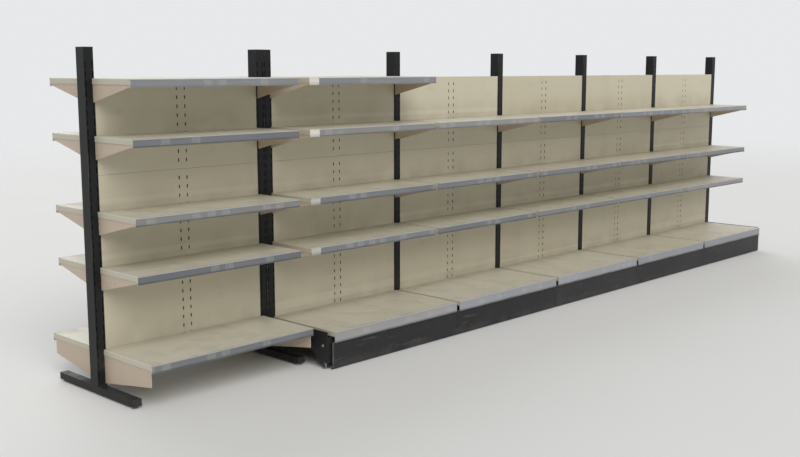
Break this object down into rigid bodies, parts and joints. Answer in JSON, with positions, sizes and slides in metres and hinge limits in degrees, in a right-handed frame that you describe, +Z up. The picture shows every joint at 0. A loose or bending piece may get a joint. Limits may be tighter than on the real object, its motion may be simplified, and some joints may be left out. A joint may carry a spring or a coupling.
{
  "type": "shop gondola shelving run",
  "caption": "Double-sided metal gondola shelving run on slotted posts, with an end unit, tapered brackets, folded shelves and a base plinth.",
  "frame": {"origin": "on the floor, in the middle of the run's bounding box", "axes": "+X along the run away from the end unit, -Y towards the pictured front side, +Z up"},
  "size_m": [5.4904, 0.96, 1.49],
  "materials": {
    "post_black": "black powder coat, satin",
    "cap_black": "moulded black plastic",
    "bracket_beige": "beige powder coat",
    "kick_grey": "charcoal powder coat, scuffed",
    "rail_grey": "extruded light grey plastic",
    "foot_grey": "zinc-plated steel, dulled",
    "tie_grey": "galvanised steel",
    "shelf_cream": "cream powder coat, lightly scuffed",
    "panel_cream": "cream powder coat"
  },
  "bodies": {
    "root": {"end_unit_posts": "post_black", "run_posts": "post_black", "post_caps": "cap_black", "end_unit_feet": "post_black", "levelling_feet": "foot_grey", "tie_rails": "tie_grey", "top_covers": "panel_cream", "back_panels_end_unit": "panel_cream", "back_panels_front": "panel_cream", "back_panels_back": "panel_cream", "base_legs_front": "kick_grey", "base_legs_back": "kick_grey", "base_decks_front": "shelf_cream", "base_decks_back": "shelf_cream", "kick_plates_front": "kick_grey", "kick_plates_back": "kick_grey", "shelves_level_1": "shelf_cream", "shelves_level_2_front": "shelf_cream", "shelves_level_3_front": "shelf_cream", "shelves_level_4_front": "shelf_cream", "shelves_level_5_front": "shelf_cream", "shelves_level_2_back": "shelf_cream", "shelves_level_3_back": "shelf_cream", "shelves_level_4_back": "shelf_cream", "shelves_level_5_back": "shelf_cream", "brackets_level_1": "bracket_beige", "brackets_level_2_front": "bracket_beige", "brackets_level_3_front": "bracket_beige", "brackets_level_4_front": "bracket_beige", "brackets_level_5_front": "bracket_beige", "brackets_level_2_back": "bracket_beige", "brackets_level_3_back": "bracket_beige", "brackets_level_4_back": "bracket_beige", "brackets_level_5_back": "bracket_beige", "ticket_rails_front": "rail_grey", "ticket_rails_back": "rail_grey"}
  },
  "joints": []
}
